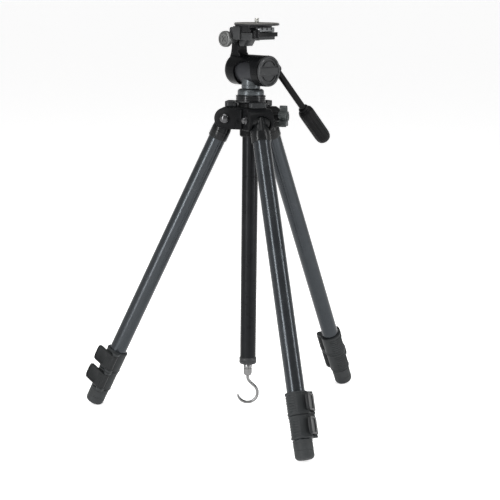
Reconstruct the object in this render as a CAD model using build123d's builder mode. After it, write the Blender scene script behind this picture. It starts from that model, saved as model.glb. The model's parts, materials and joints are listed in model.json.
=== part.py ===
"""Folding travel tripod with a pan and tilt head, a centre column and a weight hook.

Millimetres. The floor is z = 0 and the column is the Z axis. Legs point to -90, 30 and 150 degrees.
"""
import os
from math import atan, cos, radians, sin

from build123d import *

os.makedirs("parts", exist_ok=True)

# ---- driving dimensions ------------------------------------------------------------------
LEG_AZIMUTHS = (-90, 30, 150)
R_HINGE, Z_HINGE = 34.5, 440.8          # leg hinge, from the column axis and the floor
R_FOOT = 239.0                          # where a leg axis meets the floor
SPLAY = atan((R_FOOT - R_HINGE) / Z_HINGE)
R_TUBE_UP, R_TUBE_MID, R_TUBE_LOW = 12.5, 10.9, 9.3
WALL = 1.25
RUN = 0.05                              # running fit, radial
GAP = 0.35                              # clearance between bodies
S_UP, S_LOW, S_FOOT = 390.0, 422.0, 454.8   # top of each lock and of the foot, along the leg
R_FOOT_EDGE = 6.0                       # rounded edge the foot stands on
R_COLUMN = 11.6
Z_SEAM, Z_CAP = 357.0, 88.0
R_BOLT = 3.0
HEAD_AZIMUTH = -62.3                    # direction of the tilt axis
Z_TILT, R_BARREL, R_DRUM = 509.2, 22.0, 18.4
T_FLIP, Z_FLIP = -23.5, 553.0           # portrait pivot
HANDLE_SLOPE, HANDLE_OFFSET, T_HANDLE = 44.4, 18.3, 26.0
T_PLATE, R_PLATE = 10.0, 32.35
R_THREAD = 3.175                        # quarter inch camera screw
HOOK_AZIMUTH = -19.3


def direction(azimuth, z=0.0):
    return Vector(cos(radians(azimuth)), sin(radians(azimuth)), z)


def save(solid, node):
    solid.label = node
    export_step(solid, f"parts/{node}.step")


def outline(plane, points):
    """A closed polygon on a plane."""
    with BuildSketch(plane) as sketch:
        with BuildLine():
            Polyline(*points, close=True)
        make_face()
    return sketch.sketch


def hood_plane(azimuth):
    """The upright plane through a leg: x = outward, y = up."""
    return Plane((0, 0, 0), x_dir=direction(azimuth), z_dir=direction(azimuth - 90))


def side_of(plane):
    """The plane through another's axis: x stays radial and y runs along that axis."""
    return Plane(plane.origin, x_dir=plane.x_dir, z_dir=-plane.y_dir)


def axis_of(plane):
    return Axis(plane.origin, plane.z_dir)


FLOOR = Plane.XY
HEAD = Plane((0, 0, 0), x_dir=direction(HEAD_AZIMUTH), z_dir=(0, 0, 1))      # x = t, y = back
TILT = Plane((0, 0, Z_TILT), x_dir=HEAD.y_dir, z_dir=HEAD.x_dir)             # x = back, y = up
FLIP = Plane(HEAD.from_local_coords((T_FLIP, 0, Z_FLIP)), x_dir=HEAD.x_dir, z_dir=-HEAD.y_dir)
FRONT = Plane(HEAD.origin, x_dir=HEAD.x_dir, z_dir=-HEAD.y_dir)               # x = t, y = up
slope = radians(HANDLE_SLOPE)
HANDLE = Plane(
    HEAD.from_local_coords((T_HANDLE, HANDLE_OFFSET * sin(slope), Z_TILT + HANDLE_OFFSET * cos(slope))),
    x_dir=HEAD.x_dir, z_dir=HEAD.y_dir * cos(slope) - Vector(0, 0, sin(slope)))


# ---- legs --------------------------------------------------------------------------------
def leg_plane(azimuth):
    """x = sideways, y = outward, z = down the leg, from the hinge."""
    u = direction(azimuth)
    return Plane(u * R_HINGE + Vector(0, 0, Z_HINGE), x_dir=direction(azimuth + 90),
                 z_dir=u * sin(SPLAY) - Vector(0, 0, cos(SPLAY)))


def lock(leg, node, start, r_body, r_above, r_below):
    """A flip lock: clamp body, lever and lever pin. The lever lies tangent to the body."""
    end, shoulder = start + 31.5, start + 22.0
    pin_at = (r_body + 4, -3)
    reach = r_body - 16
    with BuildPart() as clamp:
        revolve(outline(side_of(leg), [(r_above + RUN, start), (r_body - 1, start), (r_body, start + 1.5),
                                       (r_body, end - 1.5), (r_body - 1, end), (r_below + RUN, end),
                                       (r_below + RUN, shoulder), (r_above + RUN, shoulder)]),
                axis=axis_of(leg))
        for z0 in (start, end - 3.7):
            with BuildSketch(leg.offset(z0)):
                with BuildLine():
                    Polyline((r_body - 3, -9), (pin_at[0], -8), (pin_at[0], 2), (r_body - 3, 5), close=True)
                make_face()
                with Locations(pin_at):
                    Circle(5)
            extrude(amount=3.7)
        with BuildSketch(leg.offset(start + 3.7)):
            with Locations(pin_at):
                Circle(5.5)
        extrude(amount=end - start - 7.4, mode=Mode.SUBTRACT)
        with BuildSketch(leg.offset(start - 1)):
            Circle(r_above + RUN)
        extrude(amount=shoulder - start + 1, mode=Mode.SUBTRACT)
        with BuildSketch(leg.offset(start + 1)):
            with Locations(pin_at):
                Circle(1.52)
        extrude(amount=end - start - 2, mode=Mode.SUBTRACT)
    save(clamp.part, f"{node}_clamp")

    with BuildPart() as lever:
        with BuildSketch(leg.offset(start + 3.7 + GAP)):
            with Locations(pin_at):
                Circle(5)
            with BuildLine():
                Polyline((20 + reach, 0), (2.8 + reach, 25), (6.6 + reach, 27.6), (23.8 + reach, 3),
                         (24.6 + reach, -1), (20 + reach, -3), close=True)
            make_face()
        extrude(amount=end - start - 7.4 - 2 * GAP)
        with BuildSketch(leg.offset(start)):
            with Locations(pin_at):
                Circle(1.5 + RUN)
        extrude(amount=end - start, mode=Mode.SUBTRACT)
    save(lever.part, f"{node}_lever")

    with BuildPart() as pin:
        with BuildSketch(leg.offset(start + 1)):
            with Locations(pin_at):
                Circle(1.5)
        extrude(amount=end - start - 2)
    save(pin.part, f"{node}_lever_pin")


def tube(leg, node, radius, start, end):
    with BuildPart() as shell:
        with BuildSketch(leg.offset(start)):
            Circle(radius)
            Circle(radius - WALL, mode=Mode.SUBTRACT)
        extrude(amount=end - start)
    save(shell.part, node)


def build_leg(number, azimuth):
    leg = leg_plane(azimuth)
    name = f"leg_{number}"
    across = Plane(leg.origin, x_dir=leg.y_dir, z_dir=leg.x_dir)      # x = outward, y = down the leg
    with BuildPart() as head:
        with BuildSketch(across):
            Circle(12.3)
            with BuildLine():
                Polyline((-12.3, 0), (12.3, 0), (13.5, 14), (13.9, 20), (-13.9, 20), (-13.5, 14),
                         close=True)
            make_face()
        extrude(amount=13.9, both=True)
        with BuildSketch(leg.offset(19.9)):
            Circle(14.0)
        extrude(amount=13.1)
        with BuildSketch(leg.offset(22)):
            Circle(R_TUBE_UP + RUN)
        extrude(amount=12, mode=Mode.SUBTRACT)
        with BuildSketch(across):
            Circle(R_BOLT + RUN)
        extrude(amount=14, both=True, mode=Mode.SUBTRACT)
    save(head.part, f"{name}_head")

    tube(leg, f"{name}_upper_tube", R_TUBE_UP, 22.0, S_UP + 22.0)
    lock(leg, f"{name}_upper", S_UP, 16.0, R_TUBE_UP, R_TUBE_MID)
    tube(leg, f"{name}_middle_tube", R_TUBE_MID, 45.0, S_LOW + 22.0)
    lock(leg, f"{name}_lower", S_LOW, 15.3, R_TUBE_MID, R_TUBE_LOW)
    tube(leg, f"{name}_lower_tube", R_TUBE_LOW, 50.0, 472.0)

    s_edge = (Z_HINGE - R_FOOT_EDGE - (13.5 - R_FOOT_EDGE) * sin(SPLAY)) / cos(SPLAY)
    with BuildPart() as foot:
        with BuildSketch(side_of(leg)):
            with BuildLine():
                Polyline((0, 472), (R_TUBE_LOW + RUN, 472), (R_TUBE_LOW + RUN, S_FOOT), (14.0, S_FOOT),
                         (14.0, S_FOOT + 4), (13.5, s_edge))
                RadiusArc((13.5, s_edge), (13.5 - R_FOOT_EDGE, s_edge + R_FOOT_EDGE), -R_FOOT_EDGE)
                Polyline((13.5 - R_FOOT_EDGE, s_edge + R_FOOT_EDGE), (0, s_edge + R_FOOT_EDGE), (0, 472))
            make_face()
        revolve(axis=axis_of(leg))
    save(foot.part, f"{name}_foot")

    hood = hood_plane(azimuth)
    with BuildPart() as tab:
        extrude(outline(hood, [(18.9, 457), (36, 457), (36, 463.5), (34, 465), (22.4, 465),
                               (22.4, 462.6), (18.9, 462.6)]), amount=13, both=True)
        extrude(outline(hood, [(24.5, 459.5), (32.5, 459.5), (32.5, 466), (24.5, 466)]), amount=7,
                both=True, mode=Mode.SUBTRACT)
        extrude(outline(hood, [(19.5, 452.6), (22.4, 452.6), (22.4, 458), (19.5, 458)]), amount=4, both=True)
    save(tab.part, f"{name}_angle_tab")


for number, azimuth in enumerate(LEG_AZIMUTHS, 1):
    build_leg(number, azimuth)

# ---- shoulder ----------------------------------------------------------------------------
Z_HOOD_TOP, Z_HOOD_BOTTOM, R_HOOD = 456.6, 425.0, 15.3
R_ROOM = 20.2                           # inner wall of a leg's room, clear of the folded leg's head
AZIMUTH_BOSS, AZIMUTH_KNOB, R_KNOB, Z_KNOB = -150, -30, 42.3, 443.5
KNOB = Plane(direction(AZIMUTH_KNOB) * R_KNOB + Vector(0, 0, Z_KNOB), x_dir=(0, 0, 1),
             z_dir=direction(AZIMUTH_KNOB))
with BuildPart() as shoulder:
    with BuildSketch(FLOOR.offset(Z_HOOD_BOTTOM)):
        Circle(20)
    extrude(amount=Z_HOOD_TOP - Z_HOOD_BOTTOM)
    with BuildSketch(FLOOR.offset(415.5)):
        Circle(15.4)
    extrude(amount=12)
    with BuildSketch(FLOOR.offset(455)):
        Circle(18)
    extrude(amount=7.65)
    for azimuth in LEG_AZIMUTHS:
        hood = hood_plane(azimuth)
        with BuildSketch(hood):
            with Locations((R_HINGE, Z_HINGE)):
                Circle(R_HOOD)
            with BuildLine():
                Polyline((8, Z_HOOD_BOTTOM), (R_HINGE, Z_HINGE - R_HOOD), (R_HINGE + 9, Z_HOOD_TOP),
                         (8, Z_HOOD_TOP), close=True)
            make_face()
        extrude(amount=18, both=True)
    for azimuth in LEG_AZIMUTHS:
        hood = hood_plane(azimuth)
        with BuildSketch(hood):
            with Locations((R_HINGE, Z_HINGE)):
                Circle(12.9)
            with BuildLine():
                Polyline((R_ROOM, 420), (60, 420), (60, 444), (R_HINGE, 444), (R_HINGE, Z_HINGE),
                         (R_ROOM, Z_HINGE), close=True)
            make_face()
        extrude(amount=14.25, both=True, mode=Mode.SUBTRACT)
        with BuildSketch(hood):
            with Locations((R_HINGE, Z_HINGE)):
                Circle(R_BOLT + 0.02)
        extrude(amount=19, both=True, mode=Mode.SUBTRACT)
        extrude(outline(hood, [(19, 452.2), (29, 452.2), (29, 458), (19, 458)]), amount=4.4, both=True,
                mode=Mode.SUBTRACT)
    extrude(outline(hood_plane(AZIMUTH_BOSS), [(16, 426), (27, 426), (27, 455), (16, 455)]), amount=6, both=True)
    with BuildSketch(KNOB.offset(-27.3)):
        Circle(7)
    extrude(amount=26.9)
    with BuildSketch(KNOB.offset(-32.3)):
        Circle(R_BOLT + RUN)
    extrude(amount=40, mode=Mode.SUBTRACT)
    with BuildSketch(FLOOR.offset(410)):
        Circle(13.05)
    extrude(amount=60, mode=Mode.SUBTRACT)
save(shoulder.part, "shoulder")

with BuildPart() as bushing:
    revolve(outline(side_of(FLOOR), [(R_COLUMN + RUN, 414.3), (14.6, 414.3), (14.6, 415.5), (13, 415.5),
                                     (13, 462), (R_COLUMN + RUN, 462)]), axis=Axis.Z)
    with BuildSketch(KNOB.offset(-32.3)):
        Circle(R_BOLT + GAP)
    extrude(amount=10, mode=Mode.SUBTRACT)
save(bushing.part, "column_bushing")

with BuildPart() as hinge_bolts:
    for azimuth in LEG_AZIMUTHS:
        bolt = Plane(direction(azimuth) * R_HINGE + Vector(0, 0, Z_HINGE), x_dir=direction(azimuth),
                     z_dir=direction(azimuth + 90))
        with BuildSketch(side_of(bolt)):
            with BuildLine():
                Polyline((0, -20.5), (5.8, -20.5), (5.8, -18), (R_BOLT, -18), (R_BOLT, 18), (7.5, 18),
                         (7.5, 19.5), (6.2, 21.6), (3.4, 22.9), (0, 23.2), close=True)
            make_face()
        revolve(axis=axis_of(bolt))
save(hinge_bolts.part, "hinge_bolts")

with BuildPart() as column_lock_knob:
    with BuildSketch(KNOB):
        Circle(11.5)
        with PolarLocations(11.5, 5):
            Circle(5)
    extrude(amount=11)
    with BuildSketch(KNOB.offset(11)):
        Circle(8)
    extrude(amount=2.5)
    with BuildSketch(KNOB.offset(-28)):
        Circle(R_BOLT)
    extrude(amount=29)
save(column_lock_knob.part, "column_lock_knob")

# ---- column ------------------------------------------------------------------------------
def turned(node, points, azimuth=0):
    plane = Plane((0, 0, 0), x_dir=direction(azimuth), z_dir=(0, 0, 1))
    with BuildPart() as piece:
        revolve(outline(side_of(plane), points), axis=Axis.Z)
    save(piece.part, node)


turned("column_tube", [(R_COLUMN - 1.6, Z_SEAM), (R_COLUMN, Z_SEAM), (R_COLUMN, 468), (R_COLUMN - 1.6, 468)])
turned("column_extension", [(R_COLUMN - 1.6, Z_CAP), (R_COLUMN, Z_CAP), (R_COLUMN, Z_SEAM), (9.95, Z_SEAM),
                            (9.95, Z_SEAM + 22), (8, Z_SEAM + 22), (8, Z_SEAM - 8), (R_COLUMN - 1.6, Z_SEAM - 10)])
turned("column_platform", [(R_COLUMN + RUN, 463), (19.5, 463), (21.5, 464.5), (21.5, 467.2), (20.9, 467.6),
                           (20.9, 468.6), (21.5, 469), (21.5, 472.9), (20.5, 473.9), (0, 473.9), (0, 468),
                           (R_COLUMN + RUN, 468)])
turned("pan_base", [(0, 473.9), (18, 473.9), (19, 474.9), (19, 481), (17.5, 482.6), (5, 482.6), (5, 497),
                    (0, 497)])
turned("column_end_cap", [(0, 78), (11.7, 78), (12.7, 79), (12.7, 87), (11.9, Z_CAP), (9.9, Z_CAP),
                          (9.9, 102), (0, 102)])

with BuildPart() as hook_stud:
    revolve(outline(side_of(FLOOR), [(2.25 + RUN, 60), (4.2, 60), (6.25, 64), (6.25, 76.5), (5.6, 78),
                                     (0, 78), (0, 71), (2.25 + RUN, 71)]), axis=Axis.Z)
save(hook_stud.part, "hook_stud")

HOOK = Plane((0, 0, 0), x_dir=direction(HOOK_AZIMUTH), z_dir=direction(HOOK_AZIMUTH - 90))
Z_RING, R_RING = 33.0, 14.8
with BuildPart() as weight_hook:
    with BuildLine(HOOK) as wire:
        Line((0, 70.5), (0, 57))
        Spline((0, 57), (R_RING * cos(radians(62)), Z_RING + R_RING * sin(radians(62))),
               tangents=((0, -1), (sin(radians(62)), -cos(radians(62)))))
        CenterArc((0, Z_RING), R_RING, 62, -232)
    with BuildSketch(Plane((0, 0, 70.5), z_dir=(0, 0, -1))):
        Circle(2.25)
    sweep(path=wire.wires()[0])
save(weight_hook.part, "weight_hook")

# ---- head --------------------------------------------------------------------------------
with BuildPart() as pan_body:
    with BuildSketch(FLOOR.offset(482.95)):
        Circle(13.5)
    extrude(amount=16)
    with BuildSketch(TILT):
        Circle(R_DRUM)
    extrude(amount=30.5, both=True)
    with BuildSketch(FLOOR.offset(480)):
        Circle(5 + RUN)
    extrude(amount=17.5, mode=Mode.SUBTRACT)
save(pan_body.part, "pan_body")

WINDOW = range(140, 351, 30)
with BuildPart() as tilt_housing:
    with BuildSketch(TILT.offset(-36)):
        Circle(R_BARREL)
    extrude(amount=67)
    chamfer(tilt_housing.faces().sort_by(axis_of(TILT))[0].edges(), length=4)
    with BuildSketch(FRONT):
        with BuildLine():
            Polyline((-34, 520), (-31.5, 532), (-30, 546), (T_FLIP, Z_FLIP), (-17.5, 546), (-16.5, 534),
                     (-12, 529), (-12, 520), close=True)
        make_face()
        with Locations((T_FLIP, Z_FLIP)):
            Circle(7.5)
    extrude(amount=9.5, both=True)
    with BuildSketch(HANDLE.offset(-8)):
        Circle(7)
    extrude(amount=28)
    with BuildSketch(TILT.offset(31)):
        Circle(R_BARREL + 0.3)
    extrude(amount=8, mode=Mode.SUBTRACT)
    with BuildSketch(TILT.offset(-31)):
        Circle(R_DRUM + RUN)
    extrude(amount=62, mode=Mode.SUBTRACT)
    extrude(outline(TILT.offset(-14.5), [(0, 0)] + [(45 * cos(radians(a)), 45 * sin(radians(a))) for a in WINDOW]),
            amount=33, mode=Mode.SUBTRACT)
    with BuildSketch(HANDLE.offset(13)):
        Circle(4.75 + RUN)
    extrude(amount=10, mode=Mode.SUBTRACT)
    with BuildSketch(FLIP.offset(-12)):
        Circle(3.5 + RUN)
    extrude(amount=24, mode=Mode.SUBTRACT)
save(tilt_housing.part, "tilt_housing")

with BuildPart() as tilt_end_cap:
    with BuildSketch(TILT.offset(31)):
        Circle(20.5)
    extrude(amount=1)
    with BuildSketch(TILT.offset(32)):
        Circle(21.75)
    extrude(amount=4.8)
    chamfer(tilt_end_cap.faces().sort_by(axis_of(TILT))[-1].edges(), length=1)
save(tilt_end_cap.part, "tilt_end_cap")

with BuildPart() as handle_rod:
    with BuildSketch(HANDLE.offset(13 + GAP)):
        Circle(4.75)
    extrude(amount=100 - 13 - GAP)
save(handle_rod.part, "handle_rod")

with BuildPart() as handle_grip:
    revolve(outline(side_of(HANDLE), [(0, 100), (7.5, 100), (8.5, 104), (11.2, 108), (11.6, 120), (11.6, 158),
                                      (10.6, 168), (7.5, 171.5), (0, 172.5)]), axis=axis_of(HANDLE))
save(handle_grip.part, "handle_grip")

with BuildPart() as clamp_body:
    with BuildSketch(HEAD.offset(552.6)):
        with Locations((0.7, 0)):
            Rectangle(46.6, 48.4)
    extrude(amount=10.6)
    fillet(clamp_body.edges().filter_by(Axis.Z), radius=5)
    with BuildSketch(FRONT):
        with BuildLine():
            Polyline((-22.6, 562), (-13.45, 562), (-13.45, 566.7), (-10.45, 569.9), (-22.6, 569.9), close=True)
        make_face()
    extrude(amount=22, both=True)
    with BuildSketch(FRONT):
        with BuildLine():
            Polyline((-15, 553.5), (-15, 544), (-12, 542.5), (-6, 542.5), (2, 553.5), close=True)
        make_face()
    extrude(amount=10, both=True)
    for start, depth in ((10, 14.2), (-22, 12)):
        with BuildSketch(FLIP.offset(start)):
            Circle(7.2)
            with BuildLine():
                Polyline((-7.2, 0), (0.9, 6), (9, 3), (7, -1.5), close=True)
            make_face()
        extrude(amount=depth)
    with BuildSketch(FLIP.offset(-9.9)):
        Circle(8)
    extrude(amount=19.8, mode=Mode.SUBTRACT)
    with BuildSketch(HEAD.offset(552.6)):
        with Locations((27, -19)):
            Circle(5)
        with BuildLine():
            Polyline((18, -24), (27, -24), (27, -14), (18, -14), close=True)
        make_face()
    extrude(amount=3)
    with BuildSketch(HEAD.offset(555.6)):
        with Locations((27, -19)):
            Circle(5.4)
    extrude(amount=16, mode=Mode.SUBTRACT)
    with BuildSketch(HEAD.offset(554)):
        with Locations((27, -19)):
            Circle(2)
    extrude(amount=13)
    with BuildSketch(FLIP.offset(-25)):
        Circle(3.52)
    extrude(amount=55, mode=Mode.SUBTRACT)
save(clamp_body.part, "clamp_body")

with BuildPart() as flip_axle:
    with BuildSketch(FLIP.offset(-21)):
        Circle(3.5)
    extrude(amount=50.5)
save(flip_axle.part, "flip_axle")

with BuildPart() as flip_knob:
    revolve(outline(side_of(FLIP), [(3.5 + RUN, 24.6), (10.3, 24.6), (11.5, 25.8), (11.5, 31), (10.6, 32.2),
                                    (9.4, 32.6), (9, 31.8), (0, 31.8), (0, 30), (3.5 + RUN, 30)]),
            axis=axis_of(FLIP))
save(flip_knob.part, "flip_knob")

with BuildPart() as clamp_lever:
    with BuildSketch(HEAD.offset(555.95)):
        with Locations((27, -19)):
            Circle(5)
    extrude(amount=11.05)
    with BuildSketch(HEAD.offset(557.2)):
        with BuildLine():
            Polyline((24.6, -19), (24.6, 20), (25.4, 24.4), (29.5, 23.6), (31.2, 8), (31.5, -17), close=True)
        make_face()
    extrude(amount=6)
    with BuildSketch(HEAD.offset(550)):
        with Locations((27, -19)):
            Circle(2 + RUN)
    extrude(amount=20, mode=Mode.SUBTRACT)
save(clamp_lever.part, "clamp_lever")

with BuildPart() as clamp_jaw:
    extrude(outline(FRONT, [(24.2, 563.6), (21.05, 563.6), (21.05, 566.7), (18.05, 569.9), (24.2, 569.9)]),
            amount=12.3)
    extrude(outline(FRONT, [(24.2, 563.6), (21.05, 563.6), (21.05, 566.7), (18.05, 569.9), (24.2, 569.9)]),
            amount=-22)
save(clamp_jaw.part, "clamp_jaw")

SCREW = Plane(HEAD.from_local_coords((T_PLATE, 0, 0)), x_dir=HEAD.x_dir, z_dir=(0, 0, 1))
with BuildPart() as quick_release_plate:
    with BuildSketch(HEAD.offset(572.6)):
        with Locations((T_PLATE, 0)):
            Circle(R_PLATE)
    extrude(amount=2.5)
    extrude(outline(FRONT, [(-13, 563.7), (20.6, 563.7), (20.6, 566.6), (17.5, 569.8), (17.5, 573), (-9.9, 573),
                            (-9.9, 569.8), (-13, 566.6)]), amount=24, both=True)
    with BuildSketch(SCREW.offset(563)):
        Circle(7)
    extrude(amount=5.7, mode=Mode.SUBTRACT)
    with BuildSketch(SCREW.offset(563)):
        Circle(2.4 + RUN)
    extrude(amount=13, mode=Mode.SUBTRACT)
save(quick_release_plate.part, "quick_release_plate")

with BuildPart() as plate_pad:
    with BuildSketch(SCREW.offset(575.1)):
        Circle(R_PLATE - 0.6)
        Circle(3.5, mode=Mode.SUBTRACT)
    extrude(amount=1.2)
save(plate_pad.part, "plate_pad")

with BuildPart() as camera_screw:
    revolve(outline(side_of(SCREW), [(0, 564.3), (6.6, 564.3), (6.6, 568.3), (2.4, 568.3), (2.4, 576.6),
                                     (R_THREAD, 576.6), (R_THREAD, 582.6), (2.6, 583.2), (0, 583.2)]),
            axis=axis_of(SCREW))
save(camera_screw.part, "camera_screw")
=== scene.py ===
# %% [markdown]
# A folding field tripod with a pan and tilt head, standing on its closed legs.
# The engineering model gives every place and size. Here each visible piece is shaped again with its
# rounded edges, ribs, rims and grooves, and each gets its own finish.

# %% Load the frame
import json
from math import atan2, cos, hypot, pi, radians, sin

import bmesh
import bpy
from mathutils import Matrix, Vector


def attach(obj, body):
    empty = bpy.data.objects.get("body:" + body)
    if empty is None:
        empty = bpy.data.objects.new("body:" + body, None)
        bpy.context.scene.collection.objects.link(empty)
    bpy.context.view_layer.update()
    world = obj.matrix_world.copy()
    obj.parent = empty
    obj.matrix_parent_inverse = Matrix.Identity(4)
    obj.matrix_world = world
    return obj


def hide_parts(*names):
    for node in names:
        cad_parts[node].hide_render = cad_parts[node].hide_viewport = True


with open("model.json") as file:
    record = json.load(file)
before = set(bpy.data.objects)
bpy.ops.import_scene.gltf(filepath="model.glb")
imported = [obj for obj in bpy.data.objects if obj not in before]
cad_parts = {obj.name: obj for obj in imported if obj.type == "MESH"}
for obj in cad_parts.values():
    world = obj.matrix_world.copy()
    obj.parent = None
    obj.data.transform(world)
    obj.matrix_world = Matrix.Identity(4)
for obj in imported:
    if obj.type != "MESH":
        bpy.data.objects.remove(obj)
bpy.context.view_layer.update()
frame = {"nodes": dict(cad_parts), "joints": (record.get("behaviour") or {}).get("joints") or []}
joints = {joint["name"]: joint for joint in frame["joints"]}
MM = 0.001


# %% [markdown]
# Every piece is easiest to shape in its own upright frame: a lock along its leg, the barrel along the
# tilt axis. A frame here is a matrix made from a point and two directions that the joints already hold,
# so nothing is fitted by eye. Units inside a frame are millimetres.

# %% Frames taken from the joints
def axes(origin, x, z):
    """A frame in millimetres from an origin in metres, an x direction and a z direction."""
    x = Vector(x).normalized()
    z = Vector(z).normalized()
    y = z.cross(x)
    turn = Matrix((x, y, z)).transposed().to_4x4()
    return Matrix.Translation(Vector(origin)) @ turn @ Matrix.Scale(MM, 4)


UP = Vector((0, 0, 1))
tilt_axis = Vector(joints["tilt"]["axis"])
back = UP.cross(tilt_axis)
WORLD = axes((0, 0, 0), (1, 0, 0), UP)
HEAD = axes((0, 0, 0), tilt_axis, UP)
BARREL = axes(joints["tilt"]["pos_m"], back, tilt_axis)
FLIP = axes(HEAD @ Vector((-23.5, 0, 553)), tilt_axis, -back)
HANDLE = axes(joints["handle_twist"]["pos_m"], tilt_axis, joints["handle_twist"]["axis"])
SCREW = axes(joints["camera_screw_turn"]["pos_m"][:2] + [0], tilt_axis, UP)
KNOB = axes(joints["column_knob_turn"]["pos_m"], UP, joints["column_knob_turn"]["axis"])
LEGS = {}
HOODS = {}
for number in (1, 2, 3):
    hinge = joints[f"leg_{number}_hinge"]
    side = -Vector(hinge["axis"])
    LEGS[number] = axes(hinge["pos_m"], side, joints[f"leg_{number}_middle_slide"]["axis"])
    HOODS[number] = axes((0, 0, 0), side.cross(UP), UP)
print("leg 1 frame origin", tuple(round(v, 4) for v in LEGS[1].translation))


# %% [markdown]
# An operator acts on everything that is selected, so each step first selects one piece alone. A mesh
# starts as a few points joined in order. After an operator has shaped it, its doubles are merged and its
# faces are turned outwards.

# %% Selecting, starting and tidying a mesh
def deselect():
    if bpy.context.object and bpy.context.object.mode != "OBJECT":
        bpy.ops.object.mode_set(mode="OBJECT")
    bpy.ops.object.select_all(action="DESELECT")


def only(piece):
    deselect()
    piece.select_set(True)
    bpy.context.view_layer.objects.active = piece


def start(name, points, closed):
    """A new mesh of points joined in order, ready for an edit operator."""
    mesh = bpy.data.meshes.new(name)
    count = len(points)
    links = [(i, (i + 1) % count) for i in range(count if closed else count - 1)]
    mesh.from_pydata([Vector(point) for point in points], links, [])
    piece = bpy.data.objects.new(name, mesh)
    bpy.context.scene.collection.objects.link(piece)
    only(piece)
    return piece


def tidy(merge=0.001):
    """In edit mode: merge doubles, point every face outwards, and leave edit mode."""
    bpy.ops.mesh.select_all(action="SELECT")
    bpy.ops.mesh.remove_doubles(threshold=merge)
    bpy.ops.mesh.delete_loose()
    bpy.ops.mesh.select_all(action="SELECT")
    bpy.ops.mesh.normals_make_consistent(inside=False)
    bpy.ops.object.mode_set(mode="OBJECT")


# %% [markdown]
# Most of a tripod is turned on a lathe or cut from plate. Spinning a half outline about an axis gives the
# turned pieces, and pushing a flat outline through its thickness gives the plates.

# %% Turned pieces and plates
def turned(name, outline, steps=64, closed=False):
    """A lathe piece: (radius, height) points spun about z."""
    piece = start(name, [(radius, 0, height) for radius, height in outline], closed)
    bpy.ops.object.mode_set(mode="EDIT")
    bpy.ops.mesh.select_all(action="SELECT")
    bpy.ops.mesh.spin(steps=steps, angle=2 * pi, center=(0, 0, 0), axis=(0, 0, 1))
    tidy()
    return piece


def rod(name, radius, low, high, steps):
    """A plain round bar along z: a tool for cutting a bore or a pocket."""
    return turned(name, [(0, low), (radius, low), (radius, high), (0, high)], steps)


def plate(name, outline, low, high):
    """A plate: an outline in x and y, pushed from low to high along z."""
    piece = start(name, [(x, y, low) for x, y in outline], True)
    bpy.ops.object.mode_set(mode="EDIT")
    bpy.ops.mesh.select_all(action="SELECT")
    bpy.ops.mesh.edge_face_add()
    bpy.ops.mesh.extrude_region_move(TRANSFORM_OT_translate={"value": (0, 0, high - low)})
    tidy()
    return piece


def rounded(points, radius, steps=5):
    """The outline with each corner rounded; radius is one number or one for each corner."""
    result = []
    count = len(points)
    radii = radius if isinstance(radius, (list, tuple)) else [radius] * count
    for i, corner in enumerate(points):
        corner = Vector(corner)
        before = (Vector(points[i - 1]) - corner)
        after = (Vector(points[(i + 1) % count]) - corner)
        reach = min(radii[i], before.length * 0.49, after.length * 0.49)
        a, b = corner + before.normalized() * reach, corner + after.normalized() * reach
        for k in range(steps + 1):
            t = k / steps
            point = a * (1 - t) ** 2 + corner * 2 * t * (1 - t) + b * t ** 2
            result.append(tuple(point))
    return result


# %% [markdown]
# Small bevels catch the light the way moulded and cast edges do. Shapes that meet are united, and a bore is
# cut with a tool shaped like the drill. A boolean can leave an open mesh, so its result is measured before
# it is kept.

# %% Bevels and booleans
def modify(piece, kind, **settings):
    only(piece)
    modifier = piece.modifiers.new(kind.title(), kind)
    for key, value in settings.items():
        setattr(modifier, key, value)
    bpy.ops.object.modifier_apply(modifier=modifier.name)
    return piece


def soften(piece, width, segments=2, angle=35):
    return modify(piece, "BEVEL", width=width, segments=segments, limit_method="ANGLE",
                  angle_limit=radians(angle), use_clamp_overlap=True)


def volume(piece):
    """The enclosed volume of a mesh, and whether every edge has exactly two faces."""
    shape = bmesh.new()
    shape.from_mesh(piece.data)
    enclosed = shape.calc_volume()
    closed = all(len(edge.link_faces) == 2 for edge in shape.edges)
    shape.free()
    return enclosed, closed


def combine(piece, tool, operation):
    """One boolean step. Solvers differ in what they manage, so a closed result of a likely size is kept."""
    first, second = volume(piece)[0], volume(tool)[0]
    likely = (max(first, second) * 0.99, first + second) if operation == "UNION" else (first - second, first)
    before = piece.data.copy()
    for solver in ("MANIFOLD", "EXACT"):
        modify(piece, "BOOLEAN", operation=operation, object=tool, solver=solver)
        enclosed, closed = volume(piece)
        if closed and likely[0] * 0.999 - 1 <= enclosed <= likely[1] * 1.001 + 1 and enclosed > 0:
            bpy.data.objects.remove(tool)
            return True
        piece.data = before.copy()
    print("boolean not clean:", piece.name, tool.name, operation)
    return False


def cut(piece, tool):
    if not combine(piece, tool, "DIFFERENCE"):
        bpy.data.objects.remove(tool)
    return piece


def join(piece, *others):
    for other in others:
        if not combine(piece, other, "UNION"):
            only(piece)
            other.select_set(True)
            bpy.ops.object.join()
    return piece


# %% [markdown]
# A piece is shaped in its own frame and then put in its place in its mesh, so that its object stays at the
# origin. Two small frames are needed again and again: one lays a turned piece along x, and one stands a
# flat outline upright, with its thickness along y.

# %% Placing and finishing a piece
def into(piece, matrix):
    """Puts a piece that was shaped in its own frame into a wider one, with its place in its mesh."""
    only(piece)
    piece.matrix_world = matrix
    bpy.ops.object.transform_apply(location=True, rotation=True, scale=True)
    return piece


def within(origin, x, z):
    """A smaller frame inside a piece's frame, all in millimetres."""
    x, z = Vector(x).normalized(), Vector(z).normalized()
    return Matrix.Translation(Vector(origin)) @ Matrix((x, z.cross(x), z)).transposed().to_4x4()


ALONG_X = within((0, 0, 0), (0, 1, 0), (1, 0, 0))
UPRIGHT = within((0, 0, 0), (1, 0, 0), (0, -1, 0))


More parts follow.
